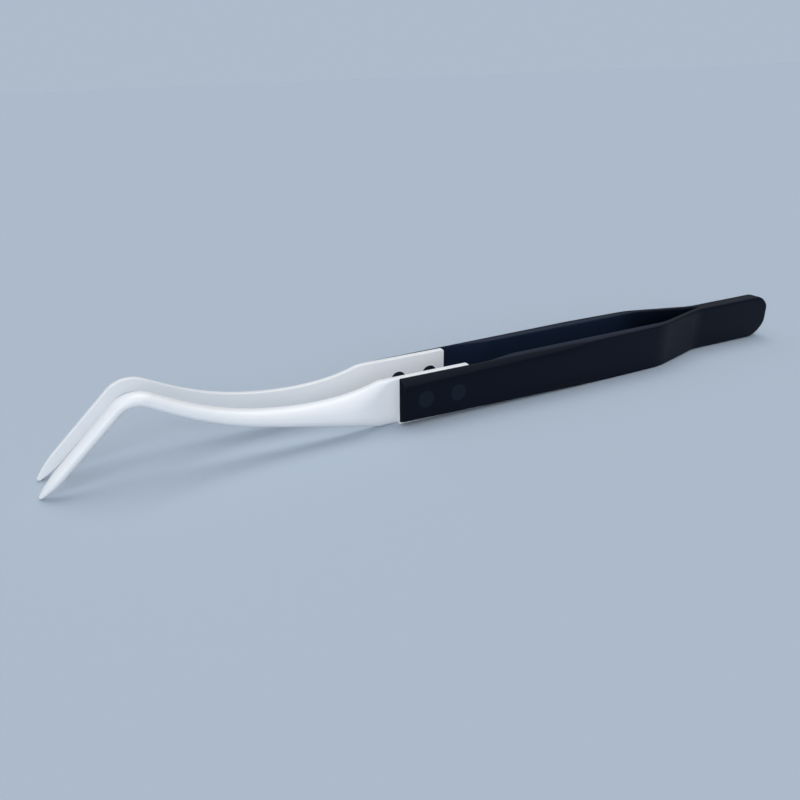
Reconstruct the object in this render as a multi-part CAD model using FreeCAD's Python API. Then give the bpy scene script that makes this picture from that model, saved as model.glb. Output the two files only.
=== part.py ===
import FreeCAD, Part
import os
from math import cos, exp, hypot, radians, sin, tan

from FreeCAD import Vector

# Bent nose tweezers with ceramic tips, in millimetres.
# The tweezers stand on the long lower edges of the arms and on the points of the prongs.
# X runs along the tweezers with the points at -X, Y goes across the gap, Z is up.
# The origin is under the middle of the whole length, on the surface that they stand on.

# Handle: one moulding, two spring arms that run together into a thin rear slab
handle_length = 84.75
front_height = 7.85
rear_height = 8.2
gap_half = 3.5
front_half_width = 6.15
middle_half_width = 5.85
middle_from_front = 32.0
bend_half_width = 5.2
outer_bend_from_front = 53.6
inner_bend_from_front = 55.2
slab_from_front = 66.0
crotch_from_front = 67.2
slab_thickness = 3.1
outer_bend_radius = 14.0
inner_bend_radius = 12.0
slab_bend_radius = 10.0
middle_radius = 260.0
crotch_radius = 0.35
slab_top_corner = 3.2
slab_bottom_corner = 4.4
handle_edge_round = 0.3

# Long facets on the outer edges of the arms, full at the front and running out backwards
upper_facet_height = 0.88
upper_facet_depth = 1.45
lower_facet_height = 0.98
lower_facet_depth = 2.4
facet_length = 46.0
facet_overrun = 1.1

# Seat in each arm for the flat tang of the ceramic tip
tang_thickness = 1.1
tang_length = 12.75
tang_height = 7.9
tang_corner = 0.2
tang_fit = 0.02
seat_behind_tang = 3.35
seat_ramp_length = 5.6
seat_ramp_radius = 5.0

# Ceramic tip: flat block in front of the arm, then a long flared neck, a hump and the point
block_length = 3.6
flare_from_front = 4.1
flare_length = 9.0
flare_corner = 0.5
neck_radius = 100.0
neck_angle = 11.0
rise_radius = 45.0
rise_angle = 27.0
rise_straight = 3.75
hump_radius = 3.9
point_angle = 42.4
prong_height = 1.72
point_height = 1.42
taper_before_hump_end = 4.0
block_round = 0.9
swell_thickness = 2.55
swell_length = 8.5
hump_thickness = 1.9
end_height = 0.5
end_thickness = 0.45
nose_length = 4.6
nose_power = 2.1
inner_round = 0.15
inner_round_share = 0.3
outer_round_share = 0.82
hump_gap_half = 2.5
hump_gap_power = 1.2
point_gap_half = 2.65

# Sections along the prong, runs that its faces are divided into, and steps of a section's rounds
prong_steps = 48
prong_runs = 8
inner_round_steps = 2
outer_round_steps = 6

# Pins that hold each tang, pressed through the arm
pin_diameter = 2.9
pin_fit = 0.03
pin_chamfer = 0.12
first_pin_from_front = 4.0
pin_above_surface = 4.1
pin_spacing = 5.95

block_centre = tang_height / 2
neck_turn = radians(neck_angle)
rise_turn = radians(rise_angle)
point_turn = radians(point_angle)


# Centre line of a prong, from the front of the arm: straight runs and tangent arcs as
# (length, turn) pairs, with the turn in radians, upwards positive, and 0 on a straight run
to_hump_end = [
    (block_length, 0.0),
    (neck_radius * neck_turn, neck_turn),
    (rise_radius * (rise_turn - neck_turn), rise_turn - neck_turn),
    (rise_straight, 0.0),
    (hump_radius * (rise_turn + point_turn), -(rise_turn + point_turn)),
]


def walk(distance, pieces):
    """Forward reach, rise and heading of a centre line at a distance from the front of the arm."""
    reach, rise, heading = 0.0, 0.0, 0.0
    left = distance
    for length, turn in pieces:
        run = min(left, length)
        if turn == 0.0:
            reach += run * cos(heading)
            rise += run * sin(heading)
        else:
            radius = length / turn
            end = heading + turn * run / length
            reach += radius * (sin(end) - sin(heading))
            rise += radius * (cos(heading) - cos(end))
            heading = end
        left -= run
        if left <= 0.0:
            break
    return reach, rise, heading


# The last run is as long as it takes to bring the point down to the surface
hump_end = sum(length for length, turn in to_hump_end)
hump_end_height = block_centre + walk(hump_end, to_hump_end)[1]
point_straight = (hump_end_height - end_height / 2 * cos(point_turn)) / sin(point_turn)
centre_line = to_hump_end + [(point_straight, 0.0)]
prong_length = hump_end + point_straight
end_reach = walk(prong_length, centre_line)[0]
prong_reach = end_reach + end_height / 2 * sin(point_turn)
overall_length = handle_length + prong_reach
front_x = prong_reach - overall_length / 2
rear_x = front_x + handle_length


def smooth(share):
    """Smooth step from 0 to 1."""
    share = min(max(share, 0.0), 1.0)
    return share * share * (3.0 - 2.0 * share)


def rounded_outline(corners, plane):
    """Closed wire through (a, b, radius) corners, with a tangent arc at each corner of radius > 0."""
    count = len(corners)
    edges = []
    starts, ends, middles = [], [], []
    for index in range(count):
        a, b, radius = corners[index]
        before = corners[index - 1]
        after = corners[(index + 1) % count]
        here = Vector(a, b, 0)
        back = (Vector(before[0], before[1], 0) - here).normalize()
        ahead = (Vector(after[0], after[1], 0) - here).normalize()
        if radius > 0.0:
            half = back.getAngle(ahead) / 2
            cut = radius / tan(half)
            centre = here + (back + ahead).normalize() * (radius / sin(half))
            starts.append(here + back * cut)
            ends.append(here + ahead * cut)
            middles.append(centre + (here - centre).normalize() * radius)
        else:
            starts.append(here)
            ends.append(here)
            middles.append(None)
    for index in range(count):
        if middles[index] is not None:
            arc = Part.Arc(plane(starts[index]), plane(middles[index]), plane(ends[index]))
            edges.append(arc.toShape())
        following = (index + 1) % count
        if (starts[following] - ends[index]).Length > 1e-6:
            edges.append(Part.makeLine(plane(ends[index]), plane(starts[following])))
    return Part.Wire(edges)


def on_plan(point):
    """Point of a plan outline, at the foot of the handle."""
    return Vector(point.x, point.y, 0)


def on_side(point):
    """Point of a side outline, in the middle plane."""
    return Vector(point.x, 0, point.y)


def arm_side(sign):
    """Corners of one arm in plan, from its front to the rear slab, outer side then inner side."""
    floor = gap_half + tang_thickness + tang_fit
    ramp = front_x + tang_length + seat_behind_tang
    outer = [
        (front_x, sign * floor, 0.0),
        (front_x, sign * front_half_width, 0.0),
        (front_x + middle_from_front, sign * middle_half_width, middle_radius),
        (front_x + outer_bend_from_front, sign * bend_half_width, outer_bend_radius),
        (front_x + slab_from_front, sign * slab_thickness / 2, slab_bend_radius),
    ]
    inner = [
        (front_x + inner_bend_from_front, sign * gap_half, inner_bend_radius),
        (ramp + seat_ramp_length, sign * gap_half, seat_ramp_radius),
        (ramp, sign * floor, seat_ramp_radius),
    ]
    return outer, inner


def outer_half_width_at(from_front):
    """Half width over the outer side of an arm, before the bend, at a distance from its front."""
    if from_front < middle_from_front:
        share = from_front / middle_from_front
        return front_half_width + (middle_half_width - front_half_width) * share
    share = (from_front - middle_from_front) / (outer_bend_from_front - middle_from_front)
    return middle_half_width + (bend_half_width - middle_half_width) * share


def facet(sign, front_edge, far_edge, rise, depth):
    """Cutter for the long facet on one outer edge of an arm: a slim tetrahedron.

    The rise is the facet's height at the front, downwards if negative.
    """
    end = Vector(front_x + facet_length, sign * outer_half_width_at(facet_length), far_edge)
    corner = Vector(front_x, sign * front_half_width, front_edge)
    on_side_face = corner + Vector(0, 0, rise)
    on_level_face = corner - Vector(0, sign * depth, 0)
    outside = corner + Vector(0, sign, -rise)
    front = [end + (point - end) * facet_overrun for point in (on_side_face, on_level_face, outside)]
    points = front + [end]
    faces = []
    for left_out in range(4):
        three = points[:left_out] + points[left_out + 1:]
        faces.append(Part.Face(Part.makePolygon(three + three[:1])))
    return Part.makeSolid(Part.makeShell(faces))


def across(x, z, radius, y0, y1):
    """Round bar across the gap, from y0 to y1."""
    return Part.makeCylinder(radius, y1 - y0, Vector(x, y0, z), Vector(0, 1, 0))


def pin_places():
    """X of the two pins of each tip."""
    return [front_x + first_pin_from_front + index * pin_spacing for index in range(2)]


def top_at(x):
    """Height of the upper edge of the handle, which rises a little to the rear."""
    return front_height + (rear_height - front_height) * (x - front_x) / handle_length


def lies_on_outline(edge):
    """True for an edge of the upper or lower outline and of the round rear end."""
    box = edge.BoundBox
    ends = [vertex.Point for vertex in edge.Vertexes]
    low = all(end.z < 1e-6 for end in ends)
    flat = low or all(abs(end.z - top_at(end.x)) < 1e-6 for end in ends)
    at_front = box.XMax < front_x + 1e-6
    behind = box.XMin > front_x + slab_from_front and box.YLength < 1e-6
    return (flat and not at_front and not box.XMin > rear_x - 1e-6) or behind


def make_handle():
    """Plan outline of both arms and the slab, raised, then rounded, faceted and bored."""
    outer_left, inner_left = arm_side(1)
    outer_right, inner_right = arm_side(-1)
    crotch = (front_x + crotch_from_front, 0.0, crotch_radius)
    rear = [(rear_x, slab_thickness / 2, 0.0), (rear_x, -slab_thickness / 2, 0.0)]
    corners = outer_left + rear + outer_right[::-1] + inner_right[::-1] + [crotch] + inner_left
    plan = Part.Face(rounded_outline(corners, on_plan))
    body = plan.extrude(Vector(0, 0, rear_height))
    side = [
        (front_x, 0.0, 0.0),
        (rear_x, 0.0, slab_bottom_corner),
        (rear_x, rear_height, slab_top_corner),
        (front_x, front_height, 0.0),
    ]
    width = 2 * front_half_width
    limit = Part.Face(rounded_outline(side, on_side)).extrude(Vector(0, width, 0))
    limit.translate(Vector(0, -width / 2, 0))
    body = body.common(limit)
    level = [edge for edge in body.Edges if lies_on_outline(edge)]
    body = body.makeFillet(handle_edge_round, level)
    for sign in (1, -1):
        far_top = top_at(front_x + facet_length)
        body = body.cut(facet(sign, front_height, far_top, -upper_facet_height, upper_facet_depth))
        body = body.cut(facet(sign, 0, 0, lower_facet_height, lower_facet_depth))
    for x in pin_places():
        hole = across(x, pin_above_surface, pin_diameter / 2 + pin_fit, -width, width)
        body = body.cut(hole)
    return body.removeSplitter()


def soft_ramp(beyond):
    """Ramp that starts at 0 with a soft corner and then rises one for one."""
    return (hypot(beyond, flare_corner) + beyond) / 2


def prong_height_at(distance):
    """Height of the prong's section: flat block, exponential flare, slight taper, blunt nose."""
    flare = soft_ramp(distance - flare_from_front) - soft_ramp(-flare_from_front)
    height = prong_height + (tang_height - prong_height) * exp(-flare / flare_length)
    taper_start = hump_end - taper_before_hump_end
    along = max(distance - taper_start, 0.0) / (prong_length - taper_start)
    return nose(distance, height - (prong_height - point_height) * along, end_height)


def prong_thickness_at(distance):
    """Thickness of the section: swells in front of the arm, then tapers along the prong."""
    swell = tang_thickness + (swell_thickness - tang_thickness) * smooth(distance / swell_length)
    along = max(distance - swell_length, 0.0) / (hump_end - swell_length)
    thickness = swell - (swell_thickness - hump_thickness) * along
    return nose(distance, thickness, end_thickness)


def nose(distance, full, end):
    """Blunt pointed nose: the size falls to its end value along a power curve."""
    share = min((prong_length - distance) / nose_length, 1.0)
    return end + (full - end) * (1.0 - (1.0 - share) ** nose_power)


def inner_face_at(distance):
    """Half of the gap between the prongs: it closes up to the hump and opens a little after it."""
    to_hump = min(max(distance - block_length, 0.0) / (hump_end - block_length), 1.0)
    to_point = max(distance - hump_end, 0.0) / (prong_length - hump_end)
    closed = gap_half - (gap_half - hump_gap_half) * to_hump ** hump_gap_power
    return closed + (point_gap_half - hump_gap_half) * to_point


def quarter_round(centre, radius, start, steps):
    """Points of a quarter circle, clockwise from a start angle in degrees."""
    angles = [radians(start - 90.0 * step / steps) for step in range(steps + 1)]
    return [(centre[0] + radius * cos(angle), centre[1] + radius * sin(angle)) for angle in angles]


def section_at(distance):
    """Points round the section at a distance along the prong, for the tip at +Y.

    The inner side is flat with small rounds, and the outer side has large ones.
    """
    thickness = prong_thickness_at(distance)
    half = prong_height_at(distance) / 2
    full = outer_round_share * min(half, thickness)
    outer = min(block_round + (full - block_round) * smooth(distance / swell_length), full)
    inner = min(inner_round, inner_round_share * thickness)
    rim = quarter_round((inner, half - inner), inner, 180.0, inner_round_steps)
    rim += quarter_round((thickness - outer, half - outer), outer, 90.0, outer_round_steps)
    rim += quarter_round((thickness - outer, outer - half), outer, 0.0, outer_round_steps)
    rim += quarter_round((inner, inner - half), inner, -90.0, inner_round_steps)
    reach, rise, heading = walk(distance, centre_line)
    base = Vector(front_x - reach, inner_face_at(distance), block_centre + rise)
    upwards = Vector(sin(heading), 0, cos(heading))
    return [base + Vector(0, across, 0) + upwards * up for across, up in rim]


def line_through(points, places):
    """Smooth line through points, with the parameter that it has at each of them."""
    line = Part.BSplineCurve()
    line.interpolate(Points=list(points), Parameters=places)
    return line


def make_prong():
    """Prong with narrow faces between smooth lines that run from section to section."""
    places = [prong_length * step / prong_steps for step in range(prong_steps + 1)]
    sections = [section_at(distance) for distance in places]
    lines = [line_through(points, places) for points in zip(*sections)]
    faces = []
    for run in range(prong_runs):
        first = prong_length * run / prong_runs
        last = prong_length * (run + 1) / prong_runs
        edges = [line.toShape(first, last) for line in lines]
        faces += [Part.makeRuledSurface(a, b) for a, b in zip(edges, edges[1:] + edges[:1])]
    for section in (sections[0], sections[-1]):
        faces.append(Part.Face(Part.makePolygon(section + section[:1])))
    shell = Part.makeShell(faces)
    shell.sewShape()
    return Part.makeSolid(shell)


def make_tip(sign):
    """Prong with a flat tang behind it, bored for the pins."""
    side = [
        (front_x, 0.0, 0.0),
        (front_x + tang_length, 0.0, tang_corner),
        (front_x + tang_length, tang_height, tang_corner),
        (front_x, tang_height, 0.0),
    ]
    tang = Part.Face(rounded_outline(side, on_side)).extrude(Vector(0, tang_thickness, 0))
    tang.translate(Vector(0, gap_half, 0))
    for x in pin_places():
        hole = across(x, pin_above_surface, pin_diameter / 2 + pin_fit, 0, front_half_width)
        tang = tang.cut(hole)
    tip = make_prong().fuse(tang)
    if sign < 0:
        tip = tip.mirror(Vector(0, 0, 0), Vector(0, 1, 0))
    return tip


def make_pin(x, sign):
    """Round pin with small chamfers, flush with the tang inside and with the arm outside."""
    length = outer_half_width_at(x - front_x) - gap_half
    pin = across(x, pin_above_surface, pin_diameter / 2, gap_half, gap_half + length)
    rims = [edge for edge in pin.Edges if edge.Curve.TypeId == "Part::GeomCircle"]
    pin = pin.makeChamfer(pin_chamfer, rims)
    if sign < 0:
        pin = pin.mirror(Vector(0, 0, 0), Vector(0, 1, 0))
    return pin


def single_solid(shape):
    """The one solid of a shape."""
    return shape.Solids[0]


def main():
    os.makedirs("parts", exist_ok=True)
    nodes = {"handle": make_handle()}
    for sign, side in ((1, "left"), (-1, "right")):
        nodes["ceramic_tip_" + side] = make_tip(sign)
        for place, x in zip(("front", "rear"), pin_places()):
            nodes["pin_" + side + "_" + place] = make_pin(x, sign)
    for name, shape in nodes.items():
        solid = single_solid(shape)
        solid.exportStep("parts/" + name + ".step")
        box = solid.BoundBox
        print(name, len(shape.Solids), shape.isValid(), round(solid.Volume, 2),
              [round(v, 3) for v in (box.XMin, box.XMax, box.YMin, box.YMax, box.ZMin, box.ZMax)])
    print("overall", round(overall_length, 3), "front", round(front_x, 3), "point run", round(point_straight, 3))


main()
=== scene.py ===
import math

import bpy
import numpy as np
from mathutils import Matrix, Vector


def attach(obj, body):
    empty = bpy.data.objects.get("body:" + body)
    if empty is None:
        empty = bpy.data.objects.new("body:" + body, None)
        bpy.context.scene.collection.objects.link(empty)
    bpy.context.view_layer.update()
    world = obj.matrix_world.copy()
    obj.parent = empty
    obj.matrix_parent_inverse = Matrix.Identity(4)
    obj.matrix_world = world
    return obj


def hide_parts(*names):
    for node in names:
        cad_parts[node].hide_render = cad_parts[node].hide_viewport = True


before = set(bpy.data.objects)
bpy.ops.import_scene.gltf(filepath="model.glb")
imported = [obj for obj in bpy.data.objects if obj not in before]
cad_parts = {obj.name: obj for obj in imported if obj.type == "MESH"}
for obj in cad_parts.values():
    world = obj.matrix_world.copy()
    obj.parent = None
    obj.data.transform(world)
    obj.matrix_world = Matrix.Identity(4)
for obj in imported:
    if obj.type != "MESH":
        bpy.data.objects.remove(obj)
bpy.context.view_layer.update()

# Bent nose tweezers with ceramic tips. Sizes are in millimetres and become metres in the meshes.
# X runs from the points at -X to the rear slab, Y goes across the gap, Z is up from the surface.
MM = 0.001

# Handle: front and rear, height, and the places where the outline bends, from the front
HANDLE_LENGTH = 84.75
FRONT_HEIGHT = 7.85
REAR_HEIGHT = 8.2
GAP_HALF = 3.5
FRONT_HALF_WIDTH = 6.15
MIDDLE_HALF_WIDTH = 5.85
MIDDLE_FROM_FRONT = 32.0
BEND_HALF_WIDTH = 5.2
OUTER_BEND_FROM_FRONT = 53.6
INNER_BEND_FROM_FRONT = 55.2
SLAB_FROM_FRONT = 66.0
CROTCH_FROM_FRONT = 67.2
SLAB_THICKNESS = 3.1
OUTER_BEND_RADIUS = 14.0
INNER_BEND_RADIUS = 12.0
SLAB_BEND_RADIUS = 10.0
MIDDLE_RADIUS = 260.0
SLAB_TOP_CORNER = 3.2
SLAB_BOTTOM_CORNER = 4.4
EDGE_ROUND = 0.3
SLAB_EDGE_ROUND = 0.6
SLAB_EDGE_FROM_FRONT = 54.0
SLAB_EDGE_GROWTH = 14.0
END_ROUND = 0.14
UPPER_FACET = (1.45, 1.10)
LOWER_FACET = (2.4, 0.98)
FACET_LENGTH = 46.0
FACET_END_HALF_WIDTH = 5.43
FACET_FLATNESS = 0.95
FACET_FLAT_RATE = 3.2
CROTCH_BLEND = 0.4

# Largest shares of an arm's size that its facets and rounds may take, and its smallest height
FACET_WIDTH_SHARE = 0.96
EDGE_HEIGHT_SHARE = 0.48
INNER_EDGE_SHARE = 0.3
EDGE_BESIDE_FACET_SHARE = 0.9
SMALLEST_HEIGHT = 0.02
SAME_PLACE = 0.000001

# Sections along the handle, and steps round each of them
FRONT_STEPS = 5
ARM_SECTIONS = 240
CROTCH_SECTIONS = 5
SLAB_SECTIONS = 24
REAR_STEPS = 36
EDGE_STEPS = 8
WALL_STEPS = 5

# Seat of the tang in the arm
TANG_THICKNESS = 1.1
TANG_LENGTH = 12.75
TANG_HEIGHT = 7.9
TANG_CORNER = 0.2
TANG_FIT = 0.02
SEAT_BEHIND_TANG = 3.35
SEAT_RAMP_LENGTH = 5.6
SEAT_RAMP_RADIUS = 5.0

# Ceramic tip: flat block, flared neck, hump and point
BLOCK_LENGTH = 3.6
FLARE_FROM_FRONT = 3.4
FLARE_LENGTH = 9.0
FLARE_CORNER = 0.5
NECK_RADIUS = 100.0
NECK_TURN = math.radians(11.0)
RISE_RADIUS = 45.0
RISE_TURN = math.radians(27.0)
RISE_STRAIGHT = 3.75
HUMP_RADIUS = 3.9
POINT_TURN = math.radians(42.4)
PRONG_HEIGHT = 1.96
POINT_HEIGHT = 1.70
TAPER_BEFORE_HUMP_END = 4.0
BLOCK_ROUND = 0.9
BLOCK_BOTTOM_ROUND = 2.2
SWELL_THICKNESS = 2.55
SWELL_LENGTH = 8.5
HUMP_THICKNESS = 1.9
END_HEIGHT = 0.5
END_THICKNESS = 0.45
NOSE_LENGTH = 4.6
NOSE_POWER = 2.1
INNER_ROUND = 0.15
INNER_ROUND_SHARE = 0.3
BLOCK_BOTTOM_SHARE = 0.95
OUTER_ROUND_ACROSS = 0.8
OUTER_ROUND_DOWN = 0.95
TANG_ROUND = 0.1
TOP_EDGE_START = 5.0
HUMP_GAP_HALF = 2.5
HUMP_GAP_POWER = 1.2
POINT_GAP_HALF = 2.65
DOME_LENGTH = 0.28
DOME_END_SHARE = 0.02
TANG_END_GAP = 0.02

# Sections along the ceramic tip, and steps round each of them
TANG_SECTIONS = 10
PRONG_SECTIONS = 300
TIP_END_STEPS = 6
TIP_CORNER_STEPS = 14
TIP_FLAT_STEPS = 6

# Pins
PIN_RADIUS = 1.45
PIN_ABOVE_SURFACE = 4.1
PIN_PROUD = 0.03
PIN_RIM = 0.14
PIN_RIM_STEPS = 5
PIN_FACE_RINGS = (0.0, 0.6, 1.1)
PIN_SIDES = 64
FIRST_PIN_FROM_FRONT = 4.0
PIN_SPACING = 5.95


# Mesh helpers


def grid_faces(rows, columns, close_columns):
    """Quads of a rows by columns grid of points, with the columns joined round if closed."""
    r = np.arange(rows - 1)[:, None]
    c = np.arange(columns if close_columns else columns - 1)[None, :]
    after = (c + 1) % columns
    here = r * columns + c
    beside = r * columns + after
    quads = np.stack([here, beside, beside + columns, here + columns], -1)
    return quads.reshape(-1, 4)


FLAT_WEIGHT = 100


def make_piece(name, points, faces, nodes):
    """Mesh object from points in millimetres and lists of faces. It replaces CAD nodes."""
    mesh = bpy.data.meshes.new(name)
    mesh.from_pydata(np.asarray(points * MM).tolist(), [], [list(face) for face in faces])
    mesh.validate()
    mesh.update()
    piece = bpy.data.objects.new(name, mesh)
    bpy.context.scene.collection.objects.link(piece)
    piece.data.shade_smooth()
    weighted = piece.modifiers.new("even shading on the flats", "WEIGHTED_NORMAL")
    weighted.weight = FLAT_WEIGHT
    weighted.keep_sharp = True
    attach(piece, "root")
    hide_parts(*nodes)
    return piece


def smooth(share):
    """Smooth step: 3 s^2 - 2 s^3 of a share s held between 0 and 1."""
    s = np.clip(share, 0.0, 1.0)
    return s * s * (3.0 - 2.0 * s)


def joined_corners(arcs, flat_steps):
    """Closed loops for every row at once: each arc's points, then even steps to the next arc."""
    shares = (np.arange(1, flat_steps) / flat_steps)[None, :, None]
    loop = []
    for arc, following in zip(arcs, arcs[1:] + arcs[:1]):
        loop += [arc, arc[:, -1:] * (1 - shares) + following[:, :1] * shares]
    return np.concatenate(loop, axis=1)


def quarter(steps):
    """Angles of a quarter turn, from 0 to 90 degrees."""
    return np.linspace(0.0, math.pi / 2, steps + 1)


# Ceramic tips


to_hump_end = [
    (BLOCK_LENGTH, 0.0),
    (NECK_RADIUS * NECK_TURN, NECK_TURN),
    (RISE_RADIUS * (RISE_TURN - NECK_TURN), RISE_TURN - NECK_TURN),
    (RISE_STRAIGHT, 0.0),
    (HUMP_RADIUS * (RISE_TURN + POINT_TURN), -(RISE_TURN + POINT_TURN)),
]


def walk(distance, pieces):
    """Forward reach, rise and heading of a chain of straight runs and tangent arcs.

    Each piece adds its own part: a run adds length times the cosine and sine of the heading, and
    an arc adds its radius times the change of the heading's sine, and of minus its cosine.
    """
    distance = np.asarray(distance, float)
    reach, rise, turned = np.zeros((3, *distance.shape))
    start, heading = 0.0, 0.0
    for length, turn in pieces:
        run = np.clip(distance - start, 0.0, length)
        if turn == 0.0:
            reach += run * math.cos(heading)
            rise += run * math.sin(heading)
        else:
            radius = length / turn
            now = heading + run / radius
            reach += radius * (np.sin(now) - math.sin(heading))
            rise += radius * (math.cos(heading) - np.cos(now))
            turned += run / radius
        start += length
        heading += turn
    return reach, rise, turned


HUMP_END = sum(length for length, turn in to_hump_end)
hump_end_height = TANG_HEIGHT / 2 + float(walk(HUMP_END, to_hump_end)[1])
POINT_STRAIGHT = (hump_end_height - END_HEIGHT / 2 * math.cos(POINT_TURN)) / math.sin(POINT_TURN)
centre_line = to_hump_end + [(POINT_STRAIGHT, 0.0)]
PRONG_LENGTH = HUMP_END + POINT_STRAIGHT
PRONG_REACH = float(walk(PRONG_LENGTH, centre_line)[0]) + END_HEIGHT / 2 * math.sin(POINT_TURN)
FRONT_X = PRONG_REACH - (HANDLE_LENGTH + PRONG_REACH) / 2
REAR_X = FRONT_X + HANDLE_LENGTH


def nose(distance, full, end):
    """Size that falls from full to end over the nose: 1 - (1 - share)^power of the difference."""
    share = np.clip((PRONG_LENGTH - distance) / NOSE_LENGTH, 0.0, 1.0)
    return end + (full - end) * (1.0 - (1.0 - share) ** NOSE_POWER)


def soft_ramp(beyond):
    """Ramp with a soft corner: half of x + (x^2 + corner^2)^0.5."""
    return (np.hypot(beyond, FLARE_CORNER) + beyond) / 2


def half_gap_at(distance):
    """Half of the gap: it closes on a power curve up to the hump and opens evenly after it."""
    to_hump = np.clip((distance - BLOCK_LENGTH) / (HUMP_END - BLOCK_LENGTH), 0.0, 1.0)
    to_point = np.clip((distance - HUMP_END) / (PRONG_LENGTH - HUMP_END), 0.0, 1.0)
    closed = GAP_HALF - (GAP_HALF - HUMP_GAP_HALF) * to_hump ** HUMP_GAP_POWER
    return closed + (POINT_GAP_HALF - HUMP_GAP_HALF) * to_point


def tip_sizes(distance):
    """Height, thickness and corner sizes of the ceramic's section, with the tang below distance 0.

    The height is an exponential flare, exp(-distance / flare length), over the prong's own height.
    The thickness rises on a smooth step and then falls on a straight line. The outer corners grow
    with that step from the block's small rounds to the quarters of a half ellipse. They come as
    across and down above, then across and down below, and the inner corners have one radius.
    """
    flare = soft_ramp(np.maximum(distance, 0.0) - FLARE_FROM_FRONT) - soft_ramp(-FLARE_FROM_FRONT)
    height = PRONG_HEIGHT + (TANG_HEIGHT - PRONG_HEIGHT) * np.exp(-flare / FLARE_LENGTH)
    taper_start = HUMP_END - TAPER_BEFORE_HUMP_END
    tapered = np.maximum(distance - taper_start, 0.0) / (PRONG_LENGTH - taper_start)
    height = nose(distance, height - (PRONG_HEIGHT - POINT_HEIGHT) * tapered, END_HEIGHT)
    swell = TANG_THICKNESS + (SWELL_THICKNESS - TANG_THICKNESS) * smooth(distance / SWELL_LENGTH)
    along = np.maximum(distance - SWELL_LENGTH, 0.0) / (HUMP_END - SWELL_LENGTH)
    thickness = nose(distance, swell - (SWELL_THICKNESS - HUMP_THICKNESS) * along, END_THICKNESS)
    swollen = smooth(distance / SWELL_LENGTH)
    across = BLOCK_ROUND + (OUTER_ROUND_ACROSS * thickness - BLOCK_ROUND) * swollen
    across = np.minimum(across, thickness)
    share_below = BLOCK_BOTTOM_SHARE + (OUTER_ROUND_ACROSS - BLOCK_BOTTOM_SHARE) * swollen
    across_below = thickness * share_below
    full = OUTER_ROUND_DOWN * height / 2
    above = np.minimum(BLOCK_ROUND + (full - BLOCK_ROUND) * swollen, full)
    below = np.minimum(BLOCK_BOTTOM_ROUND + (full - BLOCK_BOTTOM_ROUND) * swollen, full)
    corners = (across, above, across_below, below)
    outer = [np.where(distance < 0.0, TANG_ROUND, size) for size in corners]
    inner = np.minimum(INNER_ROUND, INNER_ROUND_SHARE * thickness)
    return height, thickness, outer, inner


def rounded_section(low, high, bottom, top, radii, corner_steps, flat_steps):
    """Points round a box section with four round corners, for every row at once.

    low and high are its two sides across, bottom and top its ends. radii holds an (across, down)
    pair for each corner, from the upper low one round by the upper high one. A corner is a
    quarter ellipse: across times the cosine and down times the sine of a turn about its centre.
    """
    angles = quarter(corner_steps)
    sides = [(low, 1, top, -1), (high, -1, top, -1), (high, -1, bottom, 1), (low, 1, bottom, 1)]
    arcs = []
    for index, (side, inward, end, back) in enumerate(sides):
        across, down = radii[index]
        turn = math.pi * (1.0 - index / 2) - angles
        arcs.append(np.stack([
            (side + inward * across)[:, None] + across[:, None] * np.cos(turn),
            (end + back * down)[:, None] + down[:, None] * np.sin(turn),
        ], -1))
    return joined_corners(arcs, flat_steps)


def make_ceramic_tip(side, sign):
    """Ceramic tip: rounded sections carried along the centre line, square to it.

    A point is the centre line's place, plus its upward direction (sine and cosine of the heading)
    times the section's up value, plus Y times the half gap and the section's across value. At
    both ends the section shrinks on a circle, so that the ends are round.
    """
    back = -TANG_LENGTH + TANG_CORNER * (1 - np.cos(quarter(TIP_END_STEPS)))
    tang = np.linspace(-TANG_LENGTH + TANG_CORNER, -TANG_END_GAP, TANG_SECTIONS)[1:]
    front = np.linspace(0.0, PRONG_LENGTH - DOME_LENGTH, PRONG_SECTIONS)
    dome = PRONG_LENGTH - DOME_LENGTH + DOME_LENGTH * np.sin(quarter(TIP_END_STEPS))[1:]
    distance = np.concatenate([back, tang, front, dome])
    height, thickness, (across, above, across_below, below), inner = tip_sizes(distance)
    rear = np.clip((distance + TANG_LENGTH) / TANG_CORNER, 0.0, 1.0)
    height = height - 2 * TANG_CORNER * (1 - np.sqrt(1 - (1 - rear) ** 2))
    share = np.clip((PRONG_LENGTH - distance) / DOME_LENGTH, 0.0, 1.0)
    blunt = np.maximum(np.sqrt(1 - (1 - share) ** 2), DOME_END_SHARE)
    middle = thickness / 2
    low = middle - middle * blunt
    high = middle + middle * blunt
    half = height / 2 * blunt
    edge = smooth(distance / TOP_EDGE_START)
    radii = [(inner * blunt, inner * blunt)] * 4
    upper_across = inner + (across - inner) * edge
    upper_down = inner + (above - inner) * edge
    radii[1] = (upper_across * blunt, upper_down * blunt)
    radii[2] = (across_below * blunt, below * blunt)
    section = rounded_section(low, high, -half, half, radii, TIP_CORNER_STEPS, TIP_FLAT_STEPS)
    reach, rise, heading = walk(np.maximum(distance, 0.0), centre_line)
    reach = reach + np.minimum(distance, 0.0)
    half_gap = half_gap_at(distance)
    up = section[..., 1]
    points = np.stack([
        FRONT_X - reach[:, None] + np.sin(heading)[:, None] * up,
        sign * (half_gap[:, None] + section[..., 0]),
        TANG_HEIGHT / 2 + rise[:, None] + np.cos(heading)[:, None] * up,
    ], -1)
    rows, columns = points.shape[:2]
    faces = grid_faces(rows, columns, True)
    caps = [np.arange(columns)[::-1], (rows - 1) * columns + np.arange(columns)]
    if sign > 0:
        faces, caps = faces[:, ::-1], [cap[::-1] for cap in caps]
    name = "ceramic_tip_" + side
    return make_piece(name + "_skin", points.reshape(-1, 3), [*faces, *caps], [name])


# Handle


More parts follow.
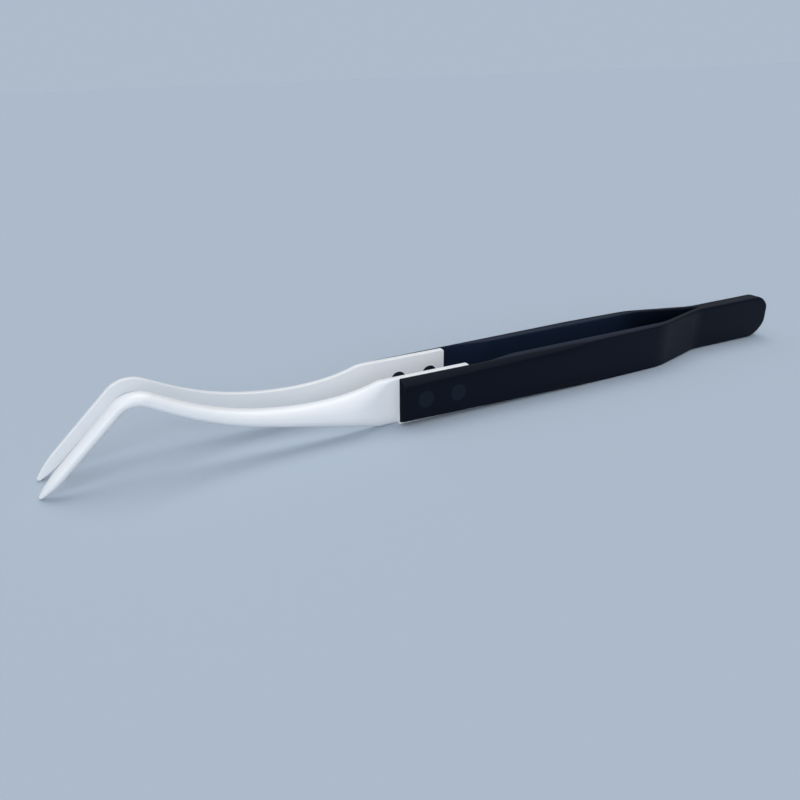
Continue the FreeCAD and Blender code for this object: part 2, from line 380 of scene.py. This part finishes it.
def tangent_outline(x, corners):
    """Height of a line through (x, y, radius) corners, with a tangent arc at each inner corner.

    Between the corners it is straight. Within radius times tan(half the turn) of a corner it is the
    circle that touches both runs: centre plus or minus the root of radius^2 - (x - centre x)^2.
    """
    y = np.interp(x, [corner[0] for corner in corners], [corner[1] for corner in corners])
    for before, here, after in zip(corners, corners[1:], corners[2:]):
        radius = here[2]
        if radius == 0.0:
            continue
        first = math.atan2(here[1] - before[1], here[0] - before[0])
        last = math.atan2(after[1] - here[1], after[0] - here[0])
        side = 1.0 if last > first else -1.0
        cut = radius * math.tan(abs(last - first) / 2)
        start = here[0] - cut * math.cos(first)
        end = here[0] + cut * math.cos(last)
        centre_x = start - side * radius * math.sin(first)
        centre_y = here[1] - cut * math.sin(first) + side * radius * math.cos(first)
        arc = centre_y - side * np.sqrt(np.maximum(radius ** 2 - (x - centre_x) ** 2, 0.0))
        y = np.where((x > start) & (x < end), arc, y)
    return y


def handle_outline(x):
    """Inner and outer half widths and lower and upper edges of the handle at each x."""
    from_front = x - FRONT_X
    floor = GAP_HALF + TANG_THICKNESS + TANG_FIT
    ramp = TANG_LENGTH + SEAT_BEHIND_TANG
    outer = tangent_outline(from_front, [
        (-1.0, FRONT_HALF_WIDTH, 0.0),
        (0.0, FRONT_HALF_WIDTH, 0.0),
        (MIDDLE_FROM_FRONT, MIDDLE_HALF_WIDTH, MIDDLE_RADIUS),
        (OUTER_BEND_FROM_FRONT, BEND_HALF_WIDTH, OUTER_BEND_RADIUS),
        (SLAB_FROM_FRONT, SLAB_THICKNESS / 2, SLAB_BEND_RADIUS),
        (HANDLE_LENGTH, SLAB_THICKNESS / 2, 0.0),
    ])
    inner = tangent_outline(from_front, [
        (-1.0, floor, 0.0),
        (ramp, floor, SEAT_RAMP_RADIUS),
        (ramp + SEAT_RAMP_LENGTH, GAP_HALF, SEAT_RAMP_RADIUS),
        (INNER_BEND_FROM_FRONT, GAP_HALF, INNER_BEND_RADIUS),
        (CROTCH_FROM_FRONT, 0.0, 0.0),
        (HANDLE_LENGTH, 0.0, 0.0),
    ])
    to_rear = HANDLE_LENGTH - from_front
    top_in = np.clip(1 - to_rear / SLAB_TOP_CORNER, 0.0, 1.0)
    bottom_in = np.clip(1 - to_rear / SLAB_BOTTOM_CORNER, 0.0, 1.0)
    top = FRONT_HEIGHT + (REAR_HEIGHT - FRONT_HEIGHT) * from_front / HANDLE_LENGTH
    top = top - SLAB_TOP_CORNER * (1 - np.sqrt(1 - top_in ** 2))
    bottom = SLAB_BOTTOM_CORNER * (1 - np.sqrt(1 - bottom_in ** 2))
    return inner, outer, bottom, top


def handle_stations():
    """X of the handle's sections: close at both rounded ends and at the crotch."""
    slab_start = CROTCH_FROM_FRONT + CROTCH_BLEND
    front = END_ROUND * (1 - np.cos(quarter(FRONT_STEPS)))
    arms = np.linspace(END_ROUND, CROTCH_FROM_FRONT, ARM_SECTIONS)[1:]
    crotch = np.linspace(CROTCH_FROM_FRONT, slab_start, CROTCH_SECTIONS)[1:]
    slab = np.linspace(slab_start, HANDLE_LENGTH - SLAB_BOTTOM_CORNER, SLAB_SECTIONS)[1:]
    rear = HANDLE_LENGTH - SLAB_BOTTOM_CORNER * (1 - np.sin(quarter(REAR_STEPS)))[1:]
    return FRONT_X + np.concatenate([front, arms, crotch, slab, rear])


def outer_edge_sizes(size, fade, rounding, width, limit):
    """Width and height of an arm's outer facet at each x, and the lift where it is cut off.

    The facet is size (width, height) times the fade, and never smaller than the edge's rounding.
    A facet wider than the arm stops at the arm's inner side, and lifts the edge there.
    """
    full_across = np.maximum(size[0] * fade, rounding)
    full_down = np.minimum(np.maximum(size[1] * fade, rounding), limit)
    across = np.minimum(full_across, FACET_WIDTH_SHARE * width)
    down = full_down * across / full_across
    return across, down, full_down - down


def arm_sections(x, behind):
    """Closed section of the left arm at each x, where behind marks the places past the crotch.

    The section has round inner edges, and outer edges that are flat facets at the front and turn
    into rounds backwards: |a|^n + |b|^n = 1 with n from 1.05 to 2.
    """
    from_front = x - FRONT_X
    inner, outer, bottom, top = handle_outline(x)
    at_slab = smooth((from_front - SLAB_EDGE_FROM_FRONT) / SLAB_EDGE_GROWTH)
    edge = EDGE_ROUND + (SLAB_EDGE_ROUND - EDGE_ROUND) * at_slab
    fade = np.clip(1 - from_front / FACET_LENGTH, 0.0, 1.0)
    straight = FRONT_HALF_WIDTH + (FACET_END_HALF_WIDTH - FRONT_HALF_WIDTH) * (1 - fade)
    bulge = np.where(fade > 0.0, np.maximum(outer - straight, 0.0), 0.0)
    front_in = np.clip(1 - from_front / END_ROUND, 0.0, 1.0)
    rear_in = np.clip(1 - (REAR_X - x) / SLAB_EDGE_ROUND, 0.0, 1.0)
    shrink = END_ROUND * (1 - np.sqrt(1 - front_in ** 2))
    inner = np.where(behind, 0.0, inner + shrink)
    outer = outer - shrink - SLAB_EDGE_ROUND * (1 - np.sqrt(1 - rear_in ** 2))
    bottom, top = bottom + shrink, top - shrink
    limit = EDGE_HEIGHT_SHARE * np.maximum(top - bottom, SMALLEST_HEIGHT)
    width = outer - inner
    upper_fade = fade + bulge / UPPER_FACET[0]
    lower_fade = fade + bulge / LOWER_FACET[0]
    upper_across, upper_down, lift = outer_edge_sizes(UPPER_FACET, upper_fade, edge, width, limit)
    top = top - lift
    lower_across, lower_down, lift = outer_edge_sizes(LOWER_FACET, lower_fade, edge, width, limit)
    bottom = bottom + lift
    before_slab = np.clip((CROTCH_FROM_FRONT + CROTCH_BLEND - from_front) / CROTCH_BLEND, 0.0, 1.0)
    round_in = np.minimum(EDGE_ROUND * before_slab, INNER_EDGE_SHARE * width)
    round_in = np.minimum(round_in, limit)
    round_low = np.minimum(round_in, EDGE_BESIDE_FACET_SHARE * (width - lower_across))
    round_high = np.minimum(round_in, EDGE_BESIDE_FACET_SHARE * (width - upper_across))
    angle = quarter(EDGE_STEPS)
    power = (2.0 / (2.0 - FACET_FLATNESS * smooth(fade * FACET_FLAT_RATE)))[:, None]
    swing = np.sin(angle) ** power
    sway = np.cos(angle) ** power
    upper_in = np.stack([
        (inner + round_high)[:, None] - round_high[:, None] * np.cos(angle),
        (top - round_high)[:, None] + round_high[:, None] * np.sin(angle),
    ], -1)
    upper_out = np.stack([
        (outer - upper_across)[:, None] + upper_across[:, None] * swing,
        (top - upper_down)[:, None] + upper_down[:, None] * sway,
    ], -1)
    lower_out = np.stack([
        (outer - lower_across)[:, None] + lower_across[:, None] * sway,
        (bottom + lower_down)[:, None] - lower_down[:, None] * swing,
    ], -1)
    lower_in = np.stack([
        (inner + round_low)[:, None] - round_low[:, None] * np.sin(angle),
        (bottom + round_low)[:, None] - round_low[:, None] * np.cos(angle),
    ], -1)
    return joined_corners([upper_in, upper_out, lower_out, lower_in], WALL_STEPS)


def make_handle():
    """Handle: the left arm's sections carried along x, and the same mirrored in the middle plane.

    Behind the crotch the two halves meet in the middle plane, and the walls there are left out.
    """
    x = handle_stations()
    behind = x - FRONT_X >= CROTCH_FROM_FRONT - SAME_PLACE
    section = arm_sections(x, behind)
    rows, columns = section.shape[:2]
    places = np.broadcast_to(x[:, None, None], (rows, columns, 1))
    left = np.concatenate([places, section], -1).reshape(-1, 3)
    right = left * [1.0, -1.0, 1.0]
    inside_wall = np.arange(columns) >= columns - WALL_STEPS
    keep = ~(behind[:-1, None] & inside_wall[None, :])
    walls = grid_faces(rows, columns, True).reshape(rows - 1, columns, 4)[keep]
    caps = [np.arange(columns)[::-1], (rows - 1) * columns + np.arange(columns)]
    left_faces = [face[::-1] for face in (*walls, *caps)]
    right_faces = [face + len(left) for face in (*walls, *caps)]
    points = np.concatenate([left, right])
    return make_piece("handle_skin", points, left_faces + right_faces, ["handle"])


# Pins


def make_pin(side, place, x, sign):
    """Pin: a profile of (radius, reach) with round rims, turned about the line across the gap."""
    inside = GAP_HALF - PIN_PROUD
    narrowing = (FRONT_HALF_WIDTH - MIDDLE_HALF_WIDTH) / MIDDLE_FROM_FRONT
    outside = FRONT_HALF_WIDTH - narrowing * (x - FRONT_X) + PIN_PROUD
    rim_out = PIN_RIM * np.sin(quarter(PIN_RIM_STEPS))
    rim_in = PIN_RIM * np.cos(quarter(PIN_RIM_STEPS))
    flat = PIN_RADIUS - PIN_RIM
    rings = np.array(PIN_FACE_RINGS)
    radius = np.concatenate([rings, flat + rim_out, flat + rim_in, rings[::-1]])
    reach = np.concatenate([
        np.full(len(rings), inside),
        inside + PIN_RIM - rim_in,
        outside - PIN_RIM + rim_out,
        np.full(len(rings), outside),
    ])
    turn = np.linspace(0.0, 2 * math.pi, PIN_SIDES, endpoint=False)
    points = np.stack([
        x + radius[:, None] * np.cos(turn),
        np.broadcast_to(sign * reach[:, None], (len(radius), len(turn))),
        PIN_ABOVE_SURFACE + radius[:, None] * np.sin(turn),
    ], -1)
    faces = grid_faces(len(radius), len(turn), True)
    if sign > 0:
        faces = faces[:, ::-1]
    node = "pin_" + side + "_" + place
    return make_piece(node + "_skin", points.reshape(-1, 3), list(faces), [node])


# Materials


# Scale of the soft patches, and the part of their noise that counts. Depth of the relief is in metres.
PATCH_SCALE = 90.0
PATCH_RANGE = (0.3, 0.7)
RELIEF_DEPTH = 0.00002

# Zones of the painted light on the arms' inner faces and of the dull front ends: from where the mask is
# full to where it has ended, in millimetres
PAINTED_INNER_LIGHT_ZONE = (4.62, 4.9)
BEFORE_BEND_ZONE = (48.0, 58.0)
FRONT_END_ZONE = (0.02, 0.12)
# Painted light: a lighter colour on the arms' inner faces stands in for light that the lamps don't bring
# there
PAINTED_INNER_LIGHT_COLOUR = (0.0080, 0.0145, 0.0320)
FRONT_END_ROUGHNESS = 0.95


def new_group(name, inputs, outputs):
    """Empty shader node group with named sockets, as (group, input node, output node)."""
    group = bpy.data.node_groups.new(name, "ShaderNodeTree")
    for label, kind, value in inputs:
        socket = group.interface.new_socket(name=label, in_out="INPUT", socket_type=kind)
        socket.default_value = value
    for label, kind in outputs:
        group.interface.new_socket(name=label, in_out="OUTPUT", socket_type=kind)
    return group, group.nodes.new("NodeGroupInput"), group.nodes.new("NodeGroupOutput")


def add_noise(nodes, links, place, detail):
    """Noise on the Object coordinates."""
    noise = nodes.new("ShaderNodeTexNoise")
    noise.inputs["Detail"].default_value = detail
    links.new(place.outputs["Object"], noise.inputs["Vector"])
    return noise


def fine_surface():
    """Group: fine moulded or ground grain over soft unevenness, as a height and a roughness."""
    group, given, out = new_group("fine surface", [
        ("Grain Size", "NodeSocketFloat", 6000.0),
        ("Unevenness Size", "NodeSocketFloat", 160.0),
        ("Unevenness Share", "NodeSocketFloat", 0.4),
        ("Roughness", "NodeSocketFloat", 0.4),
        ("Roughness Change", "NodeSocketFloat", 0.08),
    ], [
        ("Height", "NodeSocketFloat"),
        ("Roughness", "NodeSocketFloat"),
        ("Patches", "NodeSocketFloat"),
    ])
    nodes, links = group.nodes, group.links
    place = nodes.new("ShaderNodeTexCoord")
    grain = add_noise(nodes, links, place, 2.0)
    uneven = add_noise(nodes, links, place, 3.0)
    patches = add_noise(nodes, links, place, 4.0)
    patches.inputs["Scale"].default_value = PATCH_SCALE
    links.new(given.outputs["Grain Size"], grain.inputs["Scale"])
    links.new(given.outputs["Unevenness Size"], uneven.inputs["Scale"])
    height = nodes.new("ShaderNodeMix")
    links.new(given.outputs["Unevenness Share"], height.inputs["Factor"])
    links.new(grain.outputs["Fac"], height.inputs["A"])
    links.new(uneven.outputs["Fac"], height.inputs["B"])
    spread = nodes.new("ShaderNodeMapRange")
    spread.inputs["From Min"].default_value = PATCH_RANGE[0]
    spread.inputs["From Max"].default_value = PATCH_RANGE[1]
    spread.inputs["To Min"].default_value = -1.0
    spread.inputs["To Max"].default_value = 1.0
    links.new(patches.outputs["Fac"], spread.inputs["Value"])
    rough = nodes.new("ShaderNodeMath")
    rough.operation = "MULTIPLY_ADD"
    links.new(spread.outputs["Result"], rough.inputs[0])
    links.new(given.outputs["Roughness Change"], rough.inputs[1])
    links.new(given.outputs["Roughness"], rough.inputs[2])
    links.new(height.outputs["Result"], out.inputs["Height"])
    links.new(rough.outputs["Value"], out.inputs["Roughness"])
    links.new(patches.outputs["Fac"], out.inputs["Patches"])
    return group


def finish_material(name, surface, dark, light, settings, bump, shader_values):
    """Material: two close colours mixed by the soft patches, with the fine surface's bump."""
    material = bpy.data.materials.new(name)
    material.use_nodes = True
    nodes, links = material.node_tree.nodes, material.node_tree.links
    shader = nodes["Principled BSDF"]
    fine = nodes.new("ShaderNodeGroup")
    fine.node_tree = surface
    for label, value in settings.items():
        fine.inputs[label].default_value = value
    tint = nodes.new("ShaderNodeMix")
    tint.data_type = "RGBA"
    tint.inputs["A"].default_value = (*dark, 1.0)
    tint.inputs["B"].default_value = (*light, 1.0)
    links.new(fine.outputs["Patches"], tint.inputs["Factor"])
    links.new(tint.outputs["Result"], shader.inputs["Base Color"])
    links.new(fine.outputs["Roughness"], shader.inputs["Roughness"])
    relief = nodes.new("ShaderNodeBump")
    relief.inputs["Strength"].default_value = bump
    relief.inputs["Distance"].default_value = RELIEF_DEPTH
    links.new(fine.outputs["Height"], relief.inputs["Height"])
    links.new(relief.outputs["Normal"], shader.inputs["Normal"])
    for label, value in shader_values.items():
        shader.inputs[label].default_value = value
    return material


def zone_mask(nodes, links, place, axis, start, zone, absolute):
    """Mask from one Object coordinate: 1 up to the zone's first place and 0 from its second.

    Both places are counted from the start. An absolute mask is alike on both sides of zero.
    """
    split = nodes.new("ShaderNodeSeparateXYZ")
    links.new(place.outputs["Object"], split.inputs["Vector"])
    value = split.outputs[axis]
    if absolute:
        size = nodes.new("ShaderNodeMath")
        size.operation = "ABSOLUTE"
        links.new(value, size.inputs[0])
        value = size.outputs["Value"]
    spread = nodes.new("ShaderNodeMapRange")
    spread.interpolation_type = "SMOOTHSTEP"
    spread.inputs["From Min"].default_value = (start + zone[0]) * MM
    spread.inputs["From Max"].default_value = (start + zone[1]) * MM
    spread.inputs["To Min"].default_value = 1.0
    spread.inputs["To Max"].default_value = 0.0
    links.new(value, spread.inputs["Value"])
    return spread.outputs["Result"]


def add_painted_inner_light_and_dull_front(material):
    """Paints light onto the arms' inner faces as a lighter colour, and gives the front ends their dull
    finish.
    """
    nodes, links = material.node_tree.nodes, material.node_tree.links
    shader = nodes["Principled BSDF"]
    place = nodes.new("ShaderNodeTexCoord")
    near_middle = zone_mask(nodes, links, place, "Y", 0.0, PAINTED_INNER_LIGHT_ZONE, True)
    before_bend = zone_mask(nodes, links, place, "X", FRONT_X, BEFORE_BEND_ZONE, False)
    front_end = zone_mask(nodes, links, place, "X", FRONT_X, FRONT_END_ZONE, False)
    inside = nodes.new("ShaderNodeMath")
    inside.operation = "MULTIPLY"
    links.new(near_middle, inside.inputs[0])
    links.new(before_bend, inside.inputs[1])
    # Painted light: the inner faces before the bend get the lighter colour
    tint = nodes.new("ShaderNodeMix")
    tint.data_type = "RGBA"
    tint.inputs["B"].default_value = (*PAINTED_INNER_LIGHT_COLOUR, 1.0)
    links.new(inside.outputs["Value"], tint.inputs["Factor"])
    links.new(shader.inputs["Base Color"].links[0].from_socket, tint.inputs["A"])
    links.new(tint.outputs["Result"], shader.inputs["Base Color"])
    dull = nodes.new("ShaderNodeMix")
    dull.inputs["B"].default_value = FRONT_END_ROUGHNESS
    links.new(front_end, dull.inputs["Factor"])
    links.new(shader.inputs["Roughness"].links[0].from_socket, dull.inputs["A"])
    links.new(dull.outputs["Result"], shader.inputs["Roughness"])


surface = fine_surface()
moulded_black = finish_material(
    "satin black moulding",
    surface,
    dark=(0.0016, 0.0034, 0.0085),
    light=(0.0026, 0.0052, 0.0125),
    settings={
        "Grain Size": 7000.0,
        "Unevenness Size": 200.0,
        "Unevenness Share": 0.35,
        "Roughness": 0.42,
        "Roughness Change": 0.04,
    },
    bump=0.5,
    shader_values={"Specular IOR Level": 0.10},
)
add_painted_inner_light_and_dull_front(moulded_black)
pin_black = finish_material(
    "satin pin plastic",
    surface,
    dark=(0.0030, 0.0070, 0.0145),
    light=(0.0048, 0.0100, 0.0190),
    settings={
        "Grain Size": 9000.0,
        "Unevenness Size": 300.0,
        "Unevenness Share": 0.3,
        "Roughness": 0.38,
        "Roughness Change": 0.05,
    },
    bump=0.4,
    shader_values={"Specular IOR Level": 0.15},
)
ground_ceramic = finish_material(
    "ground white ceramic",
    surface,
    dark=(0.86, 0.85, 0.845),
    light=(0.90, 0.89, 0.885),
    settings={
        "Grain Size": 5000.0,
        "Unevenness Size": 240.0,
        "Unevenness Share": 0.5,
        "Roughness": 0.34,
        "Roughness Change": 0.05,
    },
    bump=0.35,
    shader_values={"Specular IOR Level": 0.6},
)

# The tweezers


handle = make_handle()
handle.data.materials.append(moulded_black)
for sign, side in ((1, "left"), (-1, "right")):
    tip = make_ceramic_tip(side, sign)
    tip.data.materials.append(ground_ceramic)
    for index, place in enumerate(("front", "rear")):
        x = FRONT_X + FIRST_PIN_FROM_FRONT + index * PIN_SPACING
        pin = make_pin(side, place, x, sign)
        pin.data.materials.append(pin_black)

# Floor, lights and camera

# The floor's reach is in metres. The world's plain colour is that of the lit floor far away.
FLOOR_REACH = 12.0
FLOOR_SIDES = 96
FLOOR_COLOUR = (0.471, 0.530, 0.600)
BEHIND_FLOOR_COLOUR = (0.4225, 0.4985, 0.598)
WORLD_COLOUR = (0.83, 0.90, 1.0)
WORLD_LOW_STRENGTH = 0.26
WORLD_RISE = 0.30

# Camera: place in millimetres, angles in degrees, lens and sensor in millimetres, clips in metres
CAMERA_PLACE = (-64.198, -100.408, 51.044)
CAMERA_AZIMUTH = -22.981
CAMERA_ELEVATION = 24.388
CAMERA_ROLL = -2.256
CAMERA_LENS = 33.379
CAMERA_SENSOR = 36.0
CAMERA_SHIFT = (0.0609, 0.0157)
CAMERA_CLIPS = (0.005, 20.0)


def make_floor():
    """Plain pale floor: a wide flat disc, with a matt finish that looks alike from all sides."""
    turn = np.linspace(0.0, 2 * math.pi, FLOOR_SIDES, endpoint=False)
    rim = FLOOR_REACH * np.stack([np.cos(turn), np.sin(turn), np.zeros_like(turn)], -1)
    mesh = bpy.data.meshes.new("floor")
    mesh.from_pydata(rim.tolist(), [], [list(range(len(turn)))])
    floor = bpy.data.objects.new("floor", mesh)
    bpy.context.scene.collection.objects.link(floor)
    material = bpy.data.materials.new("pale floor")
    material.use_nodes = True
    shader = material.node_tree.nodes["Principled BSDF"]
    shader.inputs["Base Color"].default_value = (*FLOOR_COLOUR, 1.0)
    shader.inputs["Roughness"].default_value = 1.0
    shader.inputs["Specular IOR Level"].default_value = 0.0
    mesh.materials.append(material)


def add_soft_sun(name, place, spread, strength, colour):
    """Wide soft light from far away, from the direction of a place towards the origin."""
    lamp = bpy.data.lights.new(name, "SUN")
    lamp.angle = math.radians(spread)
    lamp.energy = strength
    lamp.color = colour
    light = bpy.data.objects.new(name, lamp)
    light.location = place
    light.rotation_mode = "QUATERNION"
    light.rotation_quaternion = (-Vector(place)).to_track_quat("-Z", "Y")
    bpy.context.scene.collection.objects.link(light)


def set_world():
    """Soft surroundings, dim low down and brighter overhead, and plain where the camera looks.

    The strength at a height z of the direction is the low strength plus the rise times z^2.
    """
    world = bpy.data.worlds.new("studio")
    world.use_nodes = True
    nodes, links = world.node_tree.nodes, world.node_tree.links
    light = nodes["Background"]
    light.inputs["Color"].default_value = (*WORLD_COLOUR, 1.0)
    place = nodes.new("ShaderNodeTexCoord")
    split = nodes.new("ShaderNodeSeparateXYZ")
    links.new(place.outputs["Generated"], split.inputs["Vector"])
    square = nodes.new("ShaderNodeMath")
    square.operation = "MULTIPLY"
    links.new(split.outputs["Z"], square.inputs[0])
    links.new(split.outputs["Z"], square.inputs[1])
    strength = nodes.new("ShaderNodeMath")
    strength.operation = "MULTIPLY_ADD"
    strength.inputs[1].default_value = WORLD_RISE
    strength.inputs[2].default_value = WORLD_LOW_STRENGTH
    links.new(square.outputs["Value"], strength.inputs[0])
    links.new(strength.outputs["Value"], light.inputs["Strength"])
    plain = nodes.new("ShaderNodeBackground")
    plain.inputs["Color"].default_value = (*BEHIND_FLOOR_COLOUR, 1.0)
    path = nodes.new("ShaderNodeLightPath")
    mix = nodes.new("ShaderNodeMixShader")
    links.new(path.outputs["Is Camera Ray"], mix.inputs["Fac"])
    links.new(light.outputs["Background"], mix.inputs[1])
    links.new(plain.outputs["Background"], mix.inputs[2])
    links.new(mix.outputs["Shader"], nodes["World Output"].inputs["Surface"])
    bpy.context.scene.world = world


def set_camera():
    """Camera at the photograph's place. The axes come from its azimuth, elevation and roll."""
    azimuth, elevation, roll = map(math.radians, (CAMERA_AZIMUTH, CAMERA_ELEVATION, CAMERA_ROLL))
    level = Vector((-math.sin(azimuth), math.cos(azimuth), 0.0))
    ahead = math.cos(elevation) * level - math.sin(elevation) * Vector((0.0, 0.0, 1.0))
    right = Vector((math.cos(azimuth), math.sin(azimuth), 0.0))
    up = right.cross(ahead)
    turned_right = math.cos(roll) * right + math.sin(roll) * up
    turned_up = math.cos(roll) * up - math.sin(roll) * right
    camera = bpy.data.objects.new("camera", bpy.data.cameras.new("camera"))
    camera.data.sensor_width = CAMERA_SENSOR
    camera.data.lens = CAMERA_LENS
    camera.data.shift_x, camera.data.shift_y = CAMERA_SHIFT
    camera.data.clip_start, camera.data.clip_end = CAMERA_CLIPS
    axes = Matrix((turned_right, turned_up, -ahead)).transposed().to_4x4()
    camera.matrix_world = Matrix.Translation(Vector(CAMERA_PLACE) * MM) @ axes
    bpy.context.scene.collection.objects.link(camera)
    bpy.context.scene.camera = camera


make_floor()
set_world()
add_soft_sun("key light", place=(0.28, 0.28, 0.92), spread=45.0, strength=1.15, colour=(0.97, 0.98, 1.0))
add_soft_sun("fill light", place=(-0.42, -0.80, 0.42), spread=60.0, strength=1.82, colour=(0.88, 0.94, 1.0))
set_camera()
bpy.context.scene.view_settings.view_transform = "Standard"
